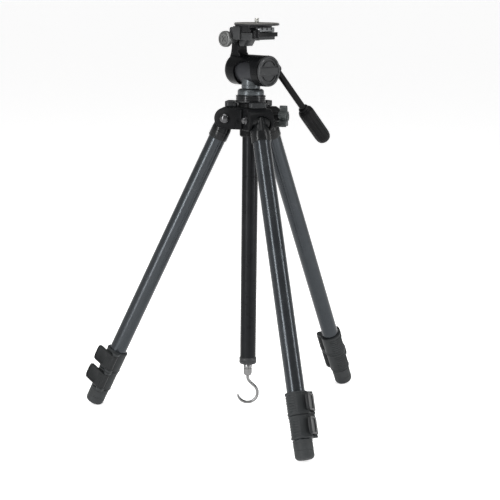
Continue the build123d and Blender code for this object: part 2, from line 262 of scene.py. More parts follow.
def fit(piece, matrix, material, body, *nodes, smooth=35):
    """Last step of each piece: place it, smooth it, give it its finish and the body it rides on."""
    into(piece, matrix)
    only(piece)
    bpy.ops.object.shade_smooth_by_angle(angle=radians(smooth))
    piece.data.materials.clear()
    piece.data.materials.append(material)
    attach(piece, body)
    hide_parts(*nodes)
    print(piece.name, len(piece.data.polygons), "faces on", body)
    return piece


# %% [markdown]
# All the finishes are built from nodes. A moulded or painted surface is never one even colour: it has a
# slow mottling, and a fine grain that breaks up the highlight. The same mottling varies the roughness, so
# that a reflection is never perfectly even. One function sets those amounts, and each finish only says how
# much of each it has. The gleam is how strongly a surface that is not metal reflects: black paint and
# rubber need little, or they turn grey in a white studio.

# %% How a finish is made
MOTTLE_SCALE = 55
GRAIN_BUMP = 0.00006


def finish(slot, colour, rough, metal=0.0, grain=0.15, grain_size=0.0006, mottle=0.12, coat=0.0,
           gleam=0.14, name=None):
    """A finish for one of the record's slots; grain_size is in metres, the rest run from 0 to 1."""
    material = bpy.data.materials.new(name or slot)
    material["slot"] = slot
    material.use_nodes = True
    nodes, links = material.node_tree.nodes, material.node_tree.links
    shader = nodes["Principled BSDF"]
    shader.inputs["Metallic"].default_value = metal
    shader.inputs["Coat Weight"].default_value = coat
    shader.inputs["Coat Roughness"].default_value = 0.12
    shader.inputs["Specular IOR Level"].default_value = gleam
    place = nodes.new("ShaderNodeTexCoord")

    slow = nodes.new("ShaderNodeTexNoise")
    slow.inputs["Scale"].default_value = MOTTLE_SCALE
    slow.inputs["Detail"].default_value = 5
    fine = nodes.new("ShaderNodeTexNoise")
    fine.inputs["Scale"].default_value = 1 / grain_size
    fine.inputs["Detail"].default_value = 3
    for noise in (slow, fine):
        links.new(place.outputs["Object"], noise.inputs["Vector"])

    shade = nodes.new("ShaderNodeValToRGB")
    dark = [channel * (1 - mottle) for channel in colour]
    light = [min(1, channel * (1 + mottle) + 0.001) for channel in colour]
    shade.color_ramp.elements[0].position = 0.3
    shade.color_ramp.elements[0].color = (*dark, 1)
    shade.color_ramp.elements[1].position = 0.7
    shade.color_ramp.elements[1].color = (*light, 1)
    links.new(slow.outputs["Fac"], shade.inputs["Fac"])

    speck = nodes.new("ShaderNodeMixRGB")
    speck.blend_type = "OVERLAY"
    speck.inputs["Fac"].default_value = grain
    links.new(shade.outputs["Color"], speck.inputs["Color1"])
    links.new(fine.outputs["Fac"], speck.inputs["Color2"])
    links.new(speck.outputs["Color"], shader.inputs["Base Color"])

    gloss = nodes.new("ShaderNodeMapRange")
    gloss.inputs["To Min"].default_value = max(0.03, rough - 0.07)
    gloss.inputs["To Max"].default_value = min(1, rough + 0.09)
    links.new(slow.outputs["Fac"], gloss.inputs["Value"])
    links.new(gloss.outputs["Result"], shader.inputs["Roughness"])

    bump = nodes.new("ShaderNodeBump")
    bump.inputs["Strength"].default_value = min(1, grain * 1.2)
    bump.inputs["Distance"].default_value = GRAIN_BUMP
    links.new(fine.outputs["Fac"], bump.inputs["Height"])
    links.new(bump.outputs["Normal"], shader.inputs["Normal"])
    return material


# %% [markdown]
# The pieces share a few families of finish: painted castings, bright or grey metal, and moulded plastic
# and rubber. Four finishes share their slot with another and have a name of their own: the leg castings
# are glossier than the shoulder, the drum is darker than its post, the jaw is paler than both, and the
# clamp is lighter and more metallic than the tilt housing.

# %% The finishes of this tripod
CASTING = finish("casting", (0.0045, 0.0047, 0.0051), 0.32, grain=0.10, gleam=0.05)
LEG_CASTING = finish("casting", (0.005, 0.0054, 0.0058), 0.24, grain=0.07, gleam=0.18, name="leg_casting")
TUBE = finish("tube", (0.038, 0.042, 0.046), 0.24, metal=0.75, grain=0.03, grain_size=0.0004, mottle=0.05)
CLAMP = finish("clamp", (0.024, 0.026, 0.027), 0.46, grain=0.12, grain_size=0.0009, gleam=0.12)
LEVER = finish("lever", (0.014, 0.015, 0.0155), 0.38, grain=0.12, grain_size=0.0009, gleam=0.10)
STEEL = finish("steel", (0.50, 0.50, 0.48), 0.30, metal=1.0, grain=0.06)
FOOT = finish("foot", (0.026, 0.028, 0.029), 0.52, grain=0.2, grain_size=0.0011, mottle=0.16)
TAB = finish("tab", (0.014, 0.015, 0.016), 0.34, grain=0.12, gleam=0.2)
BUSHING = finish("bushing", (0.010, 0.010, 0.011), 0.5)
BLACK_BOLT = finish("black_bolt", (0.05, 0.05, 0.052), 0.14, metal=0.8, grain=0.03, coat=0.4)
COLUMN = finish("column", (0.010, 0.0105, 0.0115), 0.28, metal=0.5, gleam=0.08, grain=0.04, grain_size=0.0005)
PLATFORM = finish("platform", (0.013, 0.0135, 0.0145), 0.26, metal=0.5, grain=0.04, coat=0.2)
GREY_METAL = finish("grey_metal", (0.062, 0.068, 0.072), 0.32, metal=0.6, grain=0.06)
DRUM_METAL = finish("grey_metal", (0.030, 0.031, 0.034), 0.38, metal=0.6, grain=0.06, name="drum_metal")
JAW_METAL = finish("grey_metal", (0.17, 0.175, 0.18), 0.30, metal=0.7, grain=0.06, name="jaw_metal")
CAP = finish("cap", (0.026, 0.027, 0.028), 0.34, grain=0.1, coat=0.1)
CHROME = finish("chrome", (0.17, 0.17, 0.17), 0.14, metal=1.0, grain=0.02, mottle=0.04)
KNOB_GREY = finish("knob", (0.028, 0.033, 0.033), 0.32, grain=0.12, gleam=0.25)
HOUSING = finish("housing", (0.003, 0.0032, 0.0036), 0.26, grain=0.08, coat=0.02, gleam=0.10)
CLAMP_METAL = finish("housing", (0.036, 0.037, 0.038), 0.34, metal=0.3, grain=0.08, name="clamp_metal")
ROD = finish("rod", (0.002, 0.002, 0.0022), 0.18, grain=0.03, coat=0.05, gleam=0.06)
GRIP = finish("grip", (0.004, 0.004, 0.0043), 0.36, grain=0.2, grain_size=0.0008, gleam=0.08)
KNOB_RING = finish("knob_ring", (0.11, 0.112, 0.11), 0.32, metal=0.55, grain=0.08, coat=0.1)
PLATE = finish("plate", (0.014, 0.014, 0.015), 0.32, metal=0.3, grain=0.06)
PAD = finish("pad", (0.095, 0.092, 0.086), 0.55, grain=0.25, grain_size=0.0010)
print("finishes", len(bpy.data.materials))


# %% [markdown]
# ## Legs
# Each leg is three nested tubes. Only the widest shows while the leg is closed. A tube is a thin ring
# drawn through its length, with its ends just broken so that they don't look like paper.

# %% Tubes
R_UPPER, R_MIDDLE, R_LOWER = 12.5, 10.9, 9.3
WALL = 1.25


def tube(name, radius, low, high, body, leg):
    edge = 0.3
    outline = [(radius - WALL, low), (radius - edge, low), (radius, low + edge), (radius, high - edge),
               (radius - edge, high), (radius - WALL, high)]
    return fit(turned(name, outline, 72, closed=True), leg, TUBE, body, name)


for number, leg in LEGS.items():
    tube(f"leg_{number}_upper_tube", R_UPPER, 22, 412, f"leg_{number}", leg)
    tube(f"leg_{number}_middle_tube", R_MIDDLE, 45, 444, f"leg_{number}_middle", leg)
    tube(f"leg_{number}_lower_tube", R_LOWER, 50, 472, f"leg_{number}_lower", leg)


# %% [markdown]
# The leg head is a casting: a barrel across the hinge, a flared skirt that swallows the tube, and a raised
# spine down its outer face that strengthens it. The three shapes overlap, so they are united.

# %% Leg heads
R_BOLT_HOLE = 3.05


def leg_head(number, leg):
    skirt = turned("skirt", [(0, 0), (8.5, 0.5), (10.5, 5), (12.6, 11), (13.9, 18), (13.95, 20.3),
                             (13.6, 20.6), (13.6, 21), (13.95, 21.3), (13.95, 32), (13.4, 33), (12.55, 33),
                             (12.55, 22.5), (0, 22.5)], 64)
    barrel = turned("barrel", [(0, -13.8), (11.2, -13.8), (12.2, -12.8), (12.2, 12.8), (11.2, 13.8),
                               (0, 13.8)], 48)
    into(barrel, ALONG_X)
    spine = turned("spine", [(0, -6.4), (3.0, -5.8), (5.2, -4.2), (6.5, -2), (6.9, 0), (7.1, 19.4),
                             (6.4, 20.2), (0, 20.2)], 40)
    into(spine, Matrix.Translation((0, 6.6, 0)))
    piece = join(barrel, skirt, spine)
    cut(piece, into(rod("bore", R_BOLT_HOLE, -20, 20, 32), ALONG_X))
    piece.name = f"leg_{number}_head"
    return fit(piece, leg, LEG_CASTING, f"leg_{number}", f"leg_{number}_head")


for number, leg in LEGS.items():
    leg_head(number, leg)


# %% [markdown]
# A flip lock is a moulded ring squeezed by a lever. The real ring is split beside its pivot; here it is
# whole, with a pocket where the lever's knuckle turns. Grooves across one side give the fingers a grip. The
# ring is turned, the grooves are pressed in by moving chosen points only, and the lugs that hold the pin
# are plates united with it.

# %% Flip lock rings
LOCK_HEIGHT = 31.5
LUG_HEIGHT = 3.7
PIN_OUT, PIN_BACK = 4, -3
R_UPPER_LOCK, R_LOWER_LOCK = 16.0, 15.3
GRIP_ROWS, GRIP_PITCH, GRIP_DEPTH = 7, 3.6, 0.75
GRIP_REACH = radians(62)


def lock_body(name, first, radius, above, below, body, leg):
    """A ring from first along the leg; above and below are its bores for the outer and inner tube."""
    last = first + LOCK_HEIGHT
    shoulder = first + 22
    face = radius - 0.5
    rows = [first + 5 + GRIP_PITCH * i for i in range(GRIP_ROWS)]
    outer = [(radius - 0.9, first), (radius - 0.1, first + 0.8), (radius, first + 2.2), (face, first + 2.8)]
    for row in rows:
        outer += [(face, row + step) for step in (-1.1, -0.5, 0.5, 1.1)]
    outer += [(face, last - 2.6), (radius, last - 2), (radius - 0.1, last - 0.8), (radius - 0.9, last)]
    inner = [(below, last), (below, shoulder), (above, shoulder), (above, first)]
    ring = turned(name, outer + inner, 72, closed=True)
    for vertex in ring.data.vertices:
        x, y, z = vertex.co
        on_row = any(abs(z - row) < 0.6 for row in rows) and hypot(x, y) > radius - 0.6
        if on_row and x < 0 and abs(atan2(y, -x)) < GRIP_REACH:
            vertex.co.x, vertex.co.y = x * (1 - GRIP_DEPTH / radius), y * (1 - GRIP_DEPTH / radius)
    pin_x = radius + PIN_OUT
    lug = [(radius - 3, -9), (pin_x - 1, -8.2), (pin_x + 3.5, -6.6), (pin_x + 4.9, -3), (pin_x + 3.5, 0.6),
           (pin_x, 2), (radius - 2, 4.8), (radius - 4, 4)]
    lugs = [soften(plate("lug", rounded(lug, 2.0), low, low + LUG_HEIGHT), 0.5)
            for low in (first + 0.02, last - 3.72)]
    pocket = rod("pocket", 5.5, first + LUG_HEIGHT, last - LUG_HEIGHT, 32)
    cut(ring, into(pocket, Matrix.Translation((pin_x, PIN_BACK, 0))))
    join(ring, *lugs)
    return fit(ring, leg, CLAMP, body, name)


# %% [markdown]
# The lever is a paddle that lies against the ring, with a hollow face inside a raised rim. Its round
# knuckle turns on the pin, and a short bridge joins the two.

# %% Flip lock levers
def lock_lever(name, first, radius, body, leg):
    """A paddle tangent to the ring, with a raised rim around a hollow face, on a round knuckle."""
    low, high = first + 4.05, first + 27.45
    pin_line = Matrix.Translation((radius + PIN_OUT, PIN_BACK, 0))
    shift = radius - R_UPPER_LOCK
    heel, tip = Vector((20 + shift, 0, 0)), Vector((2.8 + shift, 25, 0))
    along = (tip - heel).normalized()
    outward = along.cross(Vector((0, 0, 1)))
    length = (tip - heel).length
    outline = rounded([(-1.5, low), (length, low), (length + 1.3, low + 5), (length + 1.3, high - 5),
                       (length - 1, high), (-1.5, high)], [1, 7, 5, 6, 7, 1], 6)
    paddle = plate("paddle", outline, 0, 4.4)
    soften(paddle, 0.6, 3, 50)
    hollow = rounded([(7, low + 2.2), (length - 2.6, low + 2.2), (length - 1, low + 5.5),
                      (length - 1, high - 5.5), (length - 3, high - 2.2), (7, high - 2.2)],
                     [5, 5, 3, 3, 5, 5])
    cut(paddle, soften(plate("hollow", hollow, 3.2, 7), 0.3))
    into(paddle, within(heel, along, outward))
    knuckle = turned("knuckle", [(0, low), (4.2, low), (4.95, low + 0.8), (4.95, high - 0.8), (4.2, high),
                                 (0, high)], 40)
    into(knuckle, pin_line)
    outline = [(19 + shift, -4), (24.4 + shift, -3), (23.6 + shift, 3), (20 + shift, 1.5)]
    bridge = soften(plate("bridge", outline, low + 0.3, high - 0.3), 0.6)
    piece = join(paddle, knuckle, bridge)
    cut(piece, into(rod("bore", 1.55, low - 2, high + 2, 24), pin_line))
    piece.name = name
    return fit(piece, leg, LEVER, body, name)


for number, leg in LEGS.items():
    leg_name = f"leg_{number}"
    lock_body(f"{leg_name}_upper_clamp", 390, R_UPPER_LOCK, 12.55, 10.95, leg_name, leg)
    lock_body(f"{leg_name}_lower_clamp", 422, R_LOWER_LOCK, 10.95, 9.35, f"{leg_name}_middle", leg)
    lock_lever(f"{leg_name}_upper_lever", 390, R_UPPER_LOCK, f"{leg_name}_upper_lever", leg)
    lock_lever(f"{leg_name}_lower_lever", 422, R_LOWER_LOCK, f"{leg_name}_lower_lever", leg)


# %% [markdown]
# The foot is a rubber boot: a rolled lip where it grips the tube, a slightly narrowing body, and a rounded
# edge that the leg stands on at any angle. One shallow groove lies under the lip and one near the ground.

# %% Feet
EDGE_FROM, R_EDGE = 475.8, 6


def foot(number, leg):
    outline = [(0, 472), (9.35, 472), (9.35, 455.3), (9.9, 454.8), (13.2, 454.8), (13.9, 455.4),
               (13.9, 457.4), (13.4, 457.9), (13.4, 459), (13.7, 459.4),
               (13.6, 468.6), (13.25, 469), (13.25, 469.6), (13.55, 470)]
    outline += [(7.5 + R_EDGE * cos(radians(a)), EDGE_FROM + R_EDGE * sin(radians(a)))
                for a in range(0, 91, 10)]
    outline += [(4.2, EDGE_FROM + R_EDGE), (3.6, EDGE_FROM + 5.4), (0, EDGE_FROM + 5.4)]
    return fit(turned(f"leg_{number}_foot", outline, 72), leg, FOOT, f"leg_{number}_lower",
               f"leg_{number}_foot")


for number, leg in LEGS.items():
    foot(number, leg)


# %% [markdown]
# ## Shoulder
# The shoulder casting holds three hoods around a hub. A hood is a thick rounded block with the leg's
# swinging room cut out of it, so it is made as that block and then hollowed. The opening in its outer wall
# is an arch, where the leg comes out.

# %% Hoods
HINGE_OUT, HINGE_UP = 34.5, 440.8
HINGE_LINE = within((HINGE_OUT, 0, HINGE_UP), (1, 0, 0), (0, 1, 0))
R_HOOD, HALF_HOOD = 15.3, 18
R_HOOD_ROOM, HALF_ROOM, ROOM_BACK = 12.9, 14.25, 20.2


def about_hinge(radius, angles):
    return [(HINGE_OUT + radius * cos(radians(a)), HINGE_UP + radius * sin(radians(a))) for a in angles]


def hood_block():
    outline = [(6, 425)] + about_hinge(R_HOOD, range(-90, 71, 10)) + [(37, 456.6), (6, 456.6)]
    block = plate("hood", outline, -HALF_HOOD, HALF_HOOD)
    return soften(into(block, UPRIGHT), 1.3, 3, 40)


def hood_room():
    """The three tools that hollow a hood: the leg's room, the tab's groove and the bolt's bore."""
    room = plate("room", about_hinge(R_HOOD_ROOM, range(0, 360, 10)), -HALF_ROOM, HALF_ROOM)
    skirt = plate("skirt", [(ROOM_BACK, 418), (HINGE_OUT, 418), (HINGE_OUT, HINGE_UP),
                            (ROOM_BACK, HINGE_UP)], -HALF_ROOM, HALF_ROOM)
    join(room, skirt)
    into(room, UPRIGHT)
    top = [(HALF_ROOM * cos(radians(a)), 435 + 13 * sin(radians(a))) for a in range(10, 171, 10)]
    arch = plate("arch", [(HALF_ROOM, 415), (HALF_ROOM, 434)] + top
                 + [(-HALF_ROOM, 434), (-HALF_ROOM, 415)], 34.4, 62)
    join(room, into(arch, ALONG_X))
    groove = plate("groove", [(19, 452.2), (29, 452.2), (29, 458), (19, 458)], -4.4, 4.4)
    bore = rod("bore", R_BOLT_HOLE, -22, 22, 32)
    return room, into(groove, UPRIGHT), into(bore, HINGE_LINE)


# %% [markdown]
# The hub between the hoods is turned. A boss with a small screw fills the gap between two of the hoods, and
# a round nose in another gap takes the lock knob's screw. The bores for the column and for that screw are
# cut last, so that nothing added to the hub closes them again.

# %% Shoulder casting
def shoulder():
    hub = turned("shoulder", [(0, 415.5), (14.9, 415.5), (15.4, 416.1), (15.4, 424), (16, 425), (20, 425),
                              (20, 456.6), (18, 456.9), (18, 460.2), (17.4, 460.5), (17.4, 461.1),
                              (17.9, 461.4), (17.9, 462.2), (17.4, 462.65), (0, 462.65)], 72)
    for hood in HOODS.values():
        join(hub, into(hood_block(), WORLD.inverted() @ hood))
    for hood in HOODS.values():
        for tool in hood_room():
            cut(hub, into(tool, WORLD.inverted() @ hood))
    gap = Matrix.Rotation(radians(-150), 4, "Z")
    boss = soften(plate("boss", rounded([(15, -6), (27, -6), (27, 6), (15, 6)], 2.5), 426, 455), 0.8)
    cut(boss, into(rod("dimple", 2.6, 0, 6, 32), within((24, 0, 438), (0, 0, 1), (1, 0, 0))))
    screw = turned("screw", [(0, 0), (2.1, 0), (2.1, 3.4), (1.6, 3.9), (1.1, 3.9), (1.1, 2.9), (0, 2.9)], 24)
    into(screw, within((23.6, 0, 438), (0, 0, 1), (1, 0, 0)))
    join(hub, into(boss, gap), into(screw, gap))
    nose = turned("nose", [(0, -30), (7, -30), (7, -5.2), (6.2, -3.6), (5.2, -3.1), (0, -3.1)], 48)
    into(nose, WORLD.inverted() @ KNOB)
    join(hub, nose)
    cut(hub, rod("bore", 13.1, 400, 480, 72))
    cut(hub, into(rod("bore", R_BOLT_HOLE, -33, 0, 32), WORLD.inverted() @ KNOB))
    return fit(hub, WORLD, CASTING, "shoulder", "shoulder")


shoulder()


# %% [markdown]
# Three bolts carry the legs. Each has a polished dome on one side and a smaller domed nut on the other, so
# the piece reads as a real fastener from both sides. The three are one piece, as they are one set of
# fasteners.

# %% Hinge bolts
def hinge_bolts():
    bolts = []
    for hood in HOODS.values():
        bolt = turned("bolt", [(0, -25.6), (2.4, -25.3), (3.7, -24.3), (4.2, -22.8), (4.2, -20.9),
                               (4.8, -20.4), (5.7, -19.7), (5.7, -18.05), (3, -18.05), (3, 18.05),
                               (7.4, 18.05), (7.4, 18.9), (6.9, 20.1), (5.6, 21.6), (3.6, 22.7), (1.8, 23.1),
                               (0, 23.2)], 48)
        into(bolt, HINGE_LINE)
        bolts.append(into(bolt, WORLD.inverted() @ hood))
    only(bolts[0])
    for bolt in bolts[1:]:
        bolt.select_set(True)
    bpy.ops.object.join()
    bolts[0].name = "hinge_bolts"
    return fit(bolts[0], WORLD, BLACK_BOLT, "shoulder", "hinge_bolts")


hinge_bolts()


# %% [markdown]
# The pull tabs on the hoods release the leg stops. Each is a moulded slider with rounded corners and a
# finger slot, and a tongue that runs in the hood's groove.

# %% Angle tabs
def angle_tab(number, hood):
    outline = rounded([(22.3, -11), (22.3, 11), (31, 13), (36, 10.5), (36, -10.5), (31, -13)],
                      [2, 2, 3, 4, 4, 3])
    slab = soften(plate(f"leg_{number}_angle_tab", outline, 457, 465), 1.2, 3)
    lip = soften(plate("lip", [(19, -10), (19, 10), (23, 11), (23, -11)], 457, 462.4), 0.6)
    tongue = plate("tongue", [(19.5, -4), (22.4, -4), (22.4, 4), (19.5, 4)], 452.6, 458)
    join(slab, lip, tongue)
    slot = plate("slot", rounded([(25, -7.5), (32.4, -7.5), (32.4, 7.5), (25, 7.5)], 3), 461, 468)
    cut(slab, soften(slot, 0.5))
    return fit(slab, hood, TAB, f"leg_{number}_tab", f"leg_{number}_angle_tab")


for number, hood in HOODS.items():
    angle_tab(number, hood)


# %% [markdown]
# The column lock knob has five soft lobes, so a cold hand can turn it. Its outline is a circle whose
# radius swells five times around, pushed to thickness and rounded over. A dish in its face holds a hub,
# and the hub's other end is the screw that presses on the column.

# %% Column lock knob
LOBES = 5
R_VALLEY, LOBE_REACH = 7.8, 8.6


def lobed_outline(steps=120):
    points = []
    for k in range(steps):
        a = 2 * pi * k / steps
        wave = 0.5 + 0.5 * cos(LOBES * a)
        points.append(((R_VALLEY + LOBE_REACH * wave) * cos(a), (R_VALLEY + LOBE_REACH * wave) * sin(a)))
    return points


def column_knob():
    wheel = soften(plate("column_lock_knob", lobed_outline(), -2.7, 8.3), 1.6, 3, 50)
    dish = turned("dish", [(0, 6.6), (6.5, 6.6), (8.2, 9), (8.2, 12), (0, 12)], 48)
    cut(wheel, dish)
    hub = turned("hub", [(0, -30.5), (3, -30.5), (3, -2.5), (5.6, -2.6), (5.6, 7), (5.6, 9.6), (4.8, 10.6),
                         (0, 10.7)], 40)
    join(wheel, hub)
    return fit(wheel, KNOB, KNOB_GREY, "column_knob", "column_lock_knob")


column_knob()


# %% [markdown]
# ## Column
# The column is two tubes with a fine seam, a grooved platform that the head stands on, and a cap at the
# bottom that carries the hook. All of them are turned.

# %% Column and platform
turned_pieces = {
    "column_tube": (COLUMN, [(10, 357), (11.2, 357), (11.6, 357.5), (11.6, 468), (10, 468)], True),
    "column_extension": (COLUMN, [(10, 88), (11.6, 88), (11.6, 356.5), (11.2, 357), (9.95, 357), (9.95, 379),
                                  (8, 379), (8, 349), (10, 347)], True),
    "column_platform": (PLATFORM, [(11.65, 463), (19.3, 463), (20.9, 463.6), (21.5, 464.6),
                                   (21.5, 466.6), (20.7, 467.1), (20.7, 467.9), (21.4, 468.3),
                                   (21.4, 469.6), (20.7, 470), (20.7, 470.7), (21.5, 471.2),
                                   (21.5, 472.6), (20.9, 473.6), (19.6, 473.9), (0, 473.9), (0, 468),
                                   (11.65, 468)], True),
    "pan_base": (GREY_METAL, [(0, 473.9), (18.2, 473.9), (18.9, 474.5), (19, 476), (19, 479),
                              (18.6, 480.4), (17.6, 481.6), (16, 482.5), (5, 482.6), (5, 496.4),
                              (4.4, 497), (0, 497)], False),
    "column_end_cap": (CAP, [(0, 78), (11, 78), (12.2, 78.5), (12.7, 79.6), (12.7, 82.4), (12.2, 82.8),
                             (12.2, 83.6), (12.7, 84), (12.7, 86.6), (12.1, 87.6), (11.5, 88), (9.9, 88),
                             (9.9, 102), (0, 102)], False),
    "hook_stud": (CHROME, [(2.3, 60), (4.2, 60.1), (5.3, 60.8), (6.0, 62.4), (6.25, 64), (6.25, 70.4),
                           (5.8, 70.8), (5.8, 71.6), (6.25, 72), (6.25, 76.4), (5.6, 78), (0, 78),
                           (0, 71), (2.3, 71)], True),
}
for name, (material, outline, closed) in turned_pieces.items():
    fit(turned(name, outline, 96, closed), WORLD, material, "column", name)
bushing = turned("column_bushing", [(11.65, 414.3), (14, 414.3), (14.6, 414.8), (14.6, 415.5), (13, 415.5),
                                    (13, 461.6), (12.6, 462), (11.65, 462)], 72, True)
fit(bushing, WORLD, BUSHING, "shoulder", "column_bushing")


# %% [markdown]
# The weight hook is bent from one chrome wire: a short shank, a sweep out to the ring's side, and most of
# a circle that ends in a tapered tip. A curve with a round bevel keeps the wire's thickness true, and each
# point's own radius gives the taper.

# %% Weight hook
HOOK_TURN = radians(-19.3)
R_HOOK, HOOK_CENTRE = 14.8, 33


def weight_hook():
    swivel = Vector(joints["hook_swivel"]["pos_m"])
    plane = within((swivel.x / MM, swivel.y / MM, 0), (cos(HOOK_TURN), sin(HOOK_TURN), 0),
                   (sin(HOOK_TURN), -cos(HOOK_TURN), 0))
    path = [(0, 70.5), (0, 66), (0, 61), (0, 57), (0.6, 53.5), (3.4, 49.4)]
    path += [(R_HOOK * cos(radians(a)), HOOK_CENTRE + R_HOOK * sin(radians(a))) for a in range(58, -171, -12)]
    curve = bpy.data.curves.new("weight_hook", "CURVE")
    curve.dimensions = "3D"
    curve.bevel_depth = 2.25
    curve.bevel_resolution = 6
    curve.use_fill_caps = True
    curve.resolution_u = 6
    line = curve.splines.new("NURBS")
    line.points.add(len(path) - 1)
    for k, (x, y) in enumerate(path):
        line.points[k].co = (x, y, 0, 1)
        left = len(path) - 1 - k
        line.points[k].radius = min(1, 0.55 + 0.18 * left)
    line.order_u = 3
    line.use_endpoint_u = True
    piece = bpy.data.objects.new("weight_hook", curve)
    bpy.context.scene.collection.objects.link(piece)
    only(piece)
    bpy.ops.object.convert(target="MESH")
    piece = bpy.context.object
    bpy.ops.object.mode_set(mode="EDIT")
    tidy(0.01)
    return fit(into(piece, plane), WORLD, CHROME, "weight_hook", "weight_hook", smooth=60)


weight_hook()


# %% [markdown]
# ## Head
# The pan body is a grey post with a crossways drum. The tilt housing is a shell around that drum, with a
# window that lets the post pass while it tilts. The drum shows through the window's round top.

# %% Pan body
R_BARREL_BORE = 18.45


def pan_body():
    post = turned("pan_body", [(0, 482.95), (12.6, 482.95), (13.4, 483.6), (13.5, 485), (13.5, 487.4),
                               (13.1, 487.7), (13.1, 488.2), (13.5, 488.5), (13.5, 497), (0, 497.4)], 72)
    drum = turned("drum", [(0, -30.5), (17.6, -30.5), (18.35, -29.7), (18.35, 29.7), (17.6, 30.5),
                           (0, 30.5)], 96)
    into(drum, WORLD.inverted() @ BARREL)
    join(post, drum)
    cut(post, rod("bore", 5.05, 470, 497.3, 40))
    fit(post, WORLD, GREY_METAL, "pan", "pan_body")
    post.data.materials.append(DRUM_METAL)
    pivot = Vector(joints["tilt"]["pos_m"])
    for face in post.data.polygons:
        away = face.center - pivot
        away -= away.dot(tilt_axis) * tilt_axis
        if away.length < R_BARREL_BORE * MM:
            face.material_index = 1


pan_body()


# %% [markdown]
# The tilt housing is a turned barrel with a neck that carries the clamp and a tapered socket for the
# handle. The window's edge follows the round shell, so its cutting tool is drawn unrolled: widths stay as
# they are, and heights are angles around the tilt axis. The tool is then a stack of wedge slices.

# %% Window tool
WINDOW_MIDDLE, HALF_WINDOW = 2, 16.5
ARCH_STARTS, ARCH_HEIGHT = 183, 43.5


def window_tool():
    """A wedge about the tilt axis whose width shrinks to a round top at the front."""
    mesh = bpy.data.meshes.new("window")
    shape = bmesh.new()
    rings = []
    for angle in list(range(140, 186, 5)) + list(range(195, 351, 15)):
        above = max(0, ARCH_STARTS - angle)
        half = HALF_WINDOW * (max(0.02, 1 - (above / ARCH_HEIGHT) ** 2)) ** 0.5
        low, high = WINDOW_MIDDLE - half, WINDOW_MIDDLE + half
        a = radians(angle)
        ring = [shape.verts.new((r * cos(a), r * sin(a), t)) for r, t in
                ((4, low), (40, low), (40, high), (4, high))]
        rings.append(ring)
    for first, second in zip(rings, rings[1:]):
        for k in range(4):
            shape.faces.new((first[k], first[(k + 1) % 4], second[(k + 1) % 4], second[k]))
    shape.faces.new(rings[0])
    shape.faces.new(rings[-1])
    bmesh.ops.recalc_face_normals(shape, faces=shape.faces)
    shape.to_mesh(mesh)
    shape.free()
    tool = bpy.data.objects.new("window", mesh)
    bpy.context.scene.collection.objects.link(tool)
    return tool


# %% [markdown]
# The barrel, the neck and the socket are united, and then cut in turn: the drum's bore, the window, a thin
# groove along the front, the handle's bore and the pivot's bore.

# %% Tilt housing
def tilt_housing():
    local = BARREL.inverted()
    shell = turned("tilt_housing", [(0, -35.9), (12, -35.6), (17, -34.6), (20, -32.8), (21.5, -30.2),
                                    (22, -27), (22, 30.2), (21.4, 30.95), (0, 30.95)], 96)
    neck_outline = [(-34.6, 512), (-34.8, 522), (-33.2, 528), (-31.4, 533), (-30.3, 539), (-30, 546),
                    (-30.7, 551), (-29.8, 556.6), (-26.5, 560), (-23.5, 560.5), (-20.5, 560),
                    (-17.3, 556.6), (-16.6, 551), (-17, 546), (-16.8, 540), (-16.2, 534),
                    (-13.2, 530.4), (-11, 527), (-11, 516)]
    neck = soften(plate("neck", neck_outline, -9.5, 9.5), 1.1, 3, 45)
    into(neck, local @ HEAD @ UPRIGHT)
    socket = turned("socket", [(0, -9), (3.2, -9), (4.8, -4), (6.3, 2), (7.3, 8), (7.6, 14), (7.6, 18.4),
                               (6.8, 20), (0, 20)], 48)
    into(socket, local @ HANDLE)
    cut(socket, rod("cap room", 22.3, 31, 50, 64))
    join(shell, neck, socket)
    cut(shell, rod("bore", R_BARREL_BORE, -31, 40, 96))
    cut(shell, window_tool())
    groove = plate("groove", [(-30, -6.3), (-21.3, -4.7), (-21.3, -3.9), (-30, -5.3)], -40, 30)
    cut(shell, groove)
    cut(shell, into(rod("bore", 4.8, 13, 30, 40), local @ HANDLE))
    cut(shell, into(rod("bore", 3.55, -14, 14, 40), local @ FLIP))
    return fit(shell, BARREL, HOUSING, "tilt", "tilt_housing")


tilt_housing()


# %% [markdown]
# The end cap closes the barrel. Its face has a raised bar across a dished disc, inside a rim, and the two
# crescents left above and below the bar are pressed deeper.

# %% End cap
def end_cap():
    disc = turned("tilt_end_cap", [(0, 31), (20.2, 31), (20.2, 32), (21.2, 32), (21.75, 32.6),
                                   (21.75, 35.2), (21.1, 36.4), (20, 36.8), (19, 36.5), (18.4, 35.6),
                                   (18, 34.2), (0, 34.2)], 96)
    bar_outline = rounded([(-18.1, -5.2), (18.1, -5.2), (18.1, 5.2), (-18.1, 5.2)], 1.5)
    join(disc, soften(plate("bar", bar_outline, 33.5, 36.2), 0.7, 3))
    for up_or_down in (1, -1):
        arc = [(15.6 * cos(radians(a)), up_or_down * (15.6 * sin(radians(a)))) for a in range(25, 156, 10)]
        arc += [(12.4 * cos(radians(a)), up_or_down * (12.4 * sin(radians(a)) + 1.2))
                for a in range(150, 29, -10)]
        cut(disc, plate("crescent", arc, 32.6, 38))
    return fit(disc, BARREL, CAP, "tilt", "tilt_end_cap")


end_cap()


# %% [markdown]
# The pan handle is a thin gloss rod screwed into the housing, with a rubber grip whose long flutes run
# along it. The flutes are made by drawing some of the turned grip's lines inwards.

# %% Handle rod
handle_rod = turned("handle_rod", [(0, 13.35), (4.2, 13.35), (4.75, 13.9), (4.75, 100), (0, 100)], 48)
fit(handle_rod, HANDLE, ROD, "handle", "handle_rod")

# %% Handle grip
FLUTES, FLUTE_DEPTH, R_GRIP = 12, 0.9, 11.6


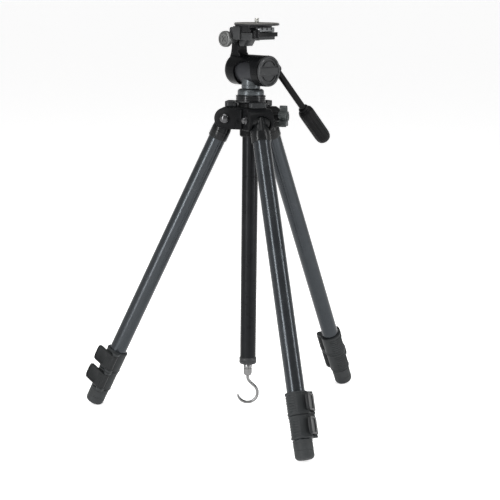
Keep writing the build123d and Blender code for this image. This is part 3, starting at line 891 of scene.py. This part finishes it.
def handle_grip():
    outline = [(0, 100), (6.8, 100), (7.4, 100.6), (7.4, 102.4), (6.9, 102.9), (6.9, 103.6), (8.4, 104.4),
               (10.6, 107), (11.4, 110)] + [(R_GRIP, 114 + 5 * k) for k in range(10)]
    outline += [(11.4, 163), (10.8, 166.5), (9.6, 169.4), (7.4, 171.4), (4, 172.3), (0, 172.5)]
    grip = turned("handle_grip", outline, 96)
    for vertex in grip.data.vertices:
        x, y, z = vertex.co
        if 109 < z < 167:
            depth = FLUTE_DEPTH * max(0, cos(FLUTES * atan2(y, x))) ** 3
            vertex.co.x, vertex.co.y = x * (1 - depth / R_GRIP), y * (1 - depth / R_GRIP)
    return fit(grip, HANDLE, GRIP, "handle", "handle_grip", smooth=50)


handle_grip()


# %% [markdown]
# The plate clamp turns on the neck for upright pictures. Its body is a bevelled block with one fixed jaw,
# a raised wall at the front, two round lugs around the neck, a stiffening web underneath, and an ear at
# one corner with an upright pin for the lever.

# %% Clamp body
LEVER_PIN = Matrix.Translation((27, -19, 0))


def clamp_body():
    outline = rounded([(-22.6, -24.2), (24, -24.2), (24, 24.2), (-22.6, 24.2)], [7, 2, 2, 7])
    block = soften(plate("clamp_body", outline, 552.6, 563.2), 1.0, 3)
    outline = rounded([(-11.4, -27.4), (2.4, -27.4), (2.4, -24.3), (-11.4, -24.3)], [3, 2, 0.4, 0.4])
    wall = soften(plate("wall", outline, 552.8, 571.4), 0.5)
    root = soften(plate("root", [(-10.4, -26), (1.6, -26), (1.6, -22), (-10.4, -22)], 553, 562.8), 0.3)
    join(block, wall, root)
    jaw = plate("jaw", [(-22.6, 561), (-13.45, 561), (-13.45, 566.7), (-10.45, 569.9), (-20.6, 569.9),
                        (-22.6, 568)], -22, 22)
    soften(into(jaw, UPRIGHT), 0.7)
    web = plate("web", [(-15, 554), (-15, 545), (-13.6, 542.8), (-6.5, 542.6), (1.5, 554)], -9.8, 9.8)
    soften(into(web, UPRIGHT), 0.9)
    join(block, jaw, web)
    pivot = HEAD.inverted() @ FLIP
    for low, high in ((10, 24.2), (-22, -10)):
        lug = turned("lug", [(0, low), (6.6, low), (7.2, low + 0.6), (7.2, high - 0.6), (6.6, high),
                             (0, high)], 48)
        cheek = plate("cheek", [(-7.1, 0.4), (-0.5, 6.6), (9, 3), (6.6, -2.6), (0, -2)],
                      low + 0.4, high - 0.4)
        join(block, into(lug, pivot), into(cheek, pivot))
    cut(block, into(rod("room", 8, -9.9, 9.9, 64), pivot))
    outline = rounded([(17, -24), (31.6, -23.8), (31.9, -14.2), (17, -14)], [1, 5, 5, 1])
    join(block, soften(plate("ear", outline, 552.6, 555.6), 0.5))
    cut(block, into(rod("pocket", 5.4, 555.6, 575, 48), LEVER_PIN))
    post = turned("post", [(0, 554), (2, 554), (2, 566.4), (1.4, 567), (0, 567)], 32)
    join(block, into(post, LEVER_PIN))
    cut(block, into(rod("bore", 3.52, -30, 30, 40), pivot))
    return fit(block, HEAD, CLAMP_METAL, "flip", "clamp_body")


clamp_body()


# %% [markdown]
# The lever that squeezes the jaw turns on the upright pin at the clamp's front corner: a flat arm with
# rounded ends, united with a round knuckle.

# %% Clamp lever
def clamp_lever():
    knuckle = turned("clamp_lever", [(0, 555.95), (4.5, 555.95), (5, 556.5), (5, 566.4), (4.5, 567),
                                     (0, 567)], 48)
    into(knuckle, LEVER_PIN)
    outline = rounded([(24.6, -19), (31.4, -19), (31.2, 8), (29.6, 23.6), (25.4, 24.3), (24.6, 20)],
                      [0.5, 0.5, 3, 2, 1, 1])
    join(knuckle, soften(plate("arm", outline, 557.2, 563.2), 0.9, 3))
    cut(knuckle, into(rod("bore", 2.05, 550, 575, 32), LEVER_PIN))
    return fit(knuckle, HEAD, HOUSING, "clamp_lever", "clamp_lever")


clamp_lever()


# %% [markdown]
# The moving jaw is a pale machined bar, undercut to hold the plate's dovetail, with three notches in its
# outer edge.

# %% Clamp jaw
def clamp_jaw():
    bar = plate("clamp_jaw", [(24.2, 563.6), (21.05, 563.6), (21.05, 566.7), (18.05, 569.9), (24.2, 569.9)],
                -22, 12.3)
    soften(into(bar, UPRIGHT), 0.45)
    for y in (-4, 6, 15):
        notch = plate("notch", [(22.8, y - 1.4), (26, y - 1.4), (26, y + 1.4), (22.8, y + 1.4)], 566, 572)
        cut(bar, notch)
    return fit(bar, HEAD, JAW_METAL, "clamp_jaw", "clamp_jaw")


clamp_jaw()


# %% [markdown]
# The knob on the pivot has a bright ringed face with a plain cross recess, and fine ribs around its rim.

# %% Pivot knob
RIBS, RIB_DEPTH, R_FLIP_KNOB = 32, 0.28, 11.5


def flip_knob():
    wheel = turned("flip_knob", [(3.55, 24.6), (9.6, 24.6), (10.6, 25), (11.5, 26.2), (11.5, 30.4),
                                 (11, 31.6), (10, 32.4), (9.2, 32.5), (8.6, 31.9), (8.4, 31.2), (7.6, 31.2),
                                 (7.3, 31.7), (0, 31.9), (0, 30), (3.55, 30)], 96, True)
    for vertex in wheel.data.vertices:
        x, y, z = vertex.co
        if 25.5 < z < 31 and hypot(x, y) > 11:
            groove = RIB_DEPTH * max(0, cos(RIBS * atan2(y, x)))
            vertex.co.x, vertex.co.y = x * (1 - groove / R_FLIP_KNOB), y * (1 - groove / R_FLIP_KNOB)
    for turn in (45, 135):
        slot = plate("slot", [(-5, -1), (5, -1), (5, 1), (-5, 1)], 31, 34)
        cut(wheel, into(slot, Matrix.Rotation(radians(turn), 4, "Z")))
    return fit(wheel, FLIP, KNOB_RING, "flip_knob", "flip_knob")


flip_knob()


# %% [markdown]
# The quick-release plate is a round disc on a dovetail foot, with a recess below for the screw's head.

# %% Quick-release plate
PLATE_CENTRE = Matrix.Translation((10, 0, 0))


def release_plate():
    disc = turned("quick_release_plate", [(0, 572.6), (30.6, 572.6), (31.6, 573.1), (32.35, 574),
                                          (32.35, 574.6), (31.9, 575.1), (0, 575.1)], 128)
    into(disc, PLATE_CENTRE)
    foot_bar = plate("foot", [(-13, 563.7), (20.6, 563.7), (20.6, 566.6), (17.5, 569.8), (17.5, 573.4),
                              (-9.9, 573.4), (-9.9, 569.8), (-13, 566.6)], -24, 24)
    join(disc, soften(into(foot_bar, UPRIGHT), 0.4))
    recess = turned("recess", [(0, 560), (7, 560), (7, 568.7), (2.45, 568.7), (2.45, 580), (0, 580)], 48)
    cut(disc, into(recess, PLATE_CENTRE))
    return fit(disc, HEAD, PLATE, "plate", "quick_release_plate")


release_plate()


# %% [markdown]
# A rubber pad with fine rings covers the plate's top. The camera screw stands in the middle, and its thread
# is drawn as close-set rings, which look the same at this size and are simpler than a helix.

# %% Pad and camera screw
def pad():
    outline = [(3.5, 575.1), (31.7, 575.1), (31.75, 575.8), (31.2, 576.3)]
    for ring_radius in range(28, 8, -4):
        outline += [(ring_radius + 0.8, 576.3), (ring_radius + 0.4, 575.95), (ring_radius - 0.4, 575.95),
                    (ring_radius - 0.8, 576.3)]
    outline += [(3.9, 576.3), (3.5, 576)]
    return fit(turned("plate_pad", outline, 128, True), SCREW, PAD, "plate", "plate_pad")


THREAD_FROM, THREAD_TO = 576.8, 582.2
R_THREAD, RING_PITCH = 3.175, 0.85


def camera_screw():
    thread = []
    height = THREAD_FROM
    while height < THREAD_TO:
        thread += [(2.75, height), (R_THREAD, height + 0.35), (R_THREAD, height + 0.45)]
        height += RING_PITCH
    outline = [(0, 564.9), (1.2, 564.9), (1.2, 564.3), (6.2, 564.3), (6.6, 564.7), (6.6, 567.9), (6.2, 568.3),
               (2.4, 568.3), (2.4, 576.6), (2.7, 576.6)] + thread + [(2.6, 582.6), (2.2, 583.05), (0, 583.1)]
    return fit(turned("camera_screw", outline, 64), SCREW, STEEL, "camera_screw", "camera_screw")


pad()
camera_screw()


# %% [markdown]
# The pins and the pivot axle are simple shafts that hardly show, so they stay as they are and only get a
# machined finish.

# %% Finishes on the carried-over shafts
for name, node in frame["nodes"].items():
    if name.endswith("lever_pin") or name == "flip_axle":
        node.data.materials.clear()
        node.data.materials.append(STEEL)
        print(name, "keeps its shape")


# %% [markdown]
# ## Studio
# A pale floor that glows a little, so that it melts into the surround. The surround is white near the
# horizon and dimmer overhead, or the flat tops of the black pieces would turn grey.

# %% Floor and surround
bpy.ops.mesh.primitive_plane_add(size=400, location=(0, 0, -0.0002))
floor = bpy.context.object
floor.name = "floor"
paper = bpy.data.materials.new("paper")
paper.use_nodes = True
paper_shader = paper.node_tree.nodes["Principled BSDF"]
paper_shader.inputs["Base Color"].default_value = (0.93, 0.93, 0.93, 1)
paper_shader.inputs["Roughness"].default_value = 0.85
paper_shader.inputs["Emission Color"].default_value = (1, 1, 1, 1)
paper_shader.inputs["Emission Strength"].default_value = 0.66
floor.data.materials.append(paper)

world = bpy.data.worlds.new("studio")
bpy.context.scene.world = world
world.use_nodes = True
backdrop = world.node_tree.nodes["Background"]
backdrop.inputs["Color"].default_value = (1, 1, 1, 1)
sky_nodes, sky_links = world.node_tree.nodes, world.node_tree.links
heading = sky_nodes.new("ShaderNodeTexCoord")
direction = sky_nodes.new("ShaderNodeSeparateXYZ")
fade = sky_nodes.new("ShaderNodeMapRange")
fade.inputs["From Min"].default_value, fade.inputs["From Max"].default_value = 0.10, 0.30
fade.inputs["To Min"].default_value, fade.inputs["To Max"].default_value = 1.0, 0.28
sky_links.new(heading.outputs["Generated"], direction.inputs["Vector"])
sky_links.new(direction.outputs["Z"], fade.inputs["Value"])
sky_links.new(fade.outputs["Result"], backdrop.inputs["Strength"])
print("floor and surround ready")


# %% [markdown]
# Black paint shows its shape only by what it reflects. A narrow tall light on each side draws one bright
# line down every tube, and a wide soft one above lights the head and the tops of the hoods.

# %% Lights
def softbox(name, place, aim, width, height, power):
    light = bpy.data.lights.new(name, "AREA")
    light.shape = "RECTANGLE"
    light.size, light.size_y = width, height
    light.energy = power
    lamp = bpy.data.objects.new(name, light)
    bpy.context.scene.collection.objects.link(lamp)
    lamp.location = place
    lamp.rotation_euler = (Vector(aim) - Vector(place)).to_track_quat("-Z", "Y").to_euler()


softbox("left strip", (-1.6, -0.9, 0.7), (0, 0, 0.35), 0.22, 1.8, 30)
softbox("right strip", (1.3, -1.1, 0.8), (0, 0, 0.35), 0.16, 1.8, 18)
softbox("top", (-0.3, -0.4, 2.2), (0, 0, 0.3), 1.6, 1.6, 30)
print("lights", len(bpy.data.lights))


# %% [markdown]
# The camera has a long lens, so the legs keep their true proportions. It stands a little higher than the
# release plate and looks slightly down. It is swung to one side of the column, and rolled by a trace.

# %% Camera
ROLL, PITCH, TURN = 0.0111, 0.1836, radians(-19.32)
DISTANCE, EYE_HEIGHT = 2.17035, 0.65103
FOCAL_LENGTH, SENSOR = 108.99072, 36
right = Vector((cos(TURN), sin(TURN), 0))
ahead = Vector((-sin(TURN), cos(TURN), 0))
look = ahead * cos(PITCH) - UP * sin(PITCH)
over = ahead * sin(PITCH) + UP * cos(PITCH)
tilted_right = right * cos(ROLL) + over * sin(ROLL)
tilted_up = tilted_right.cross(look)
lens = bpy.data.cameras.new("camera")
lens.sensor_width = SENSOR
lens.lens = FOCAL_LENGTH
lens.shift_x = 0.0019
camera = bpy.data.objects.new("camera", lens)
bpy.context.scene.collection.objects.link(camera)
facing = Matrix((tilted_right, tilted_up, -look)).transposed().to_4x4()
camera.matrix_world = Matrix.Translation(UP * EYE_HEIGHT - ahead * DISTANCE) @ facing
bpy.context.scene.camera = camera
bpy.context.scene.view_settings.view_transform = "Standard"
print("camera at", tuple(round(v, 3) for v in camera.matrix_world.translation))
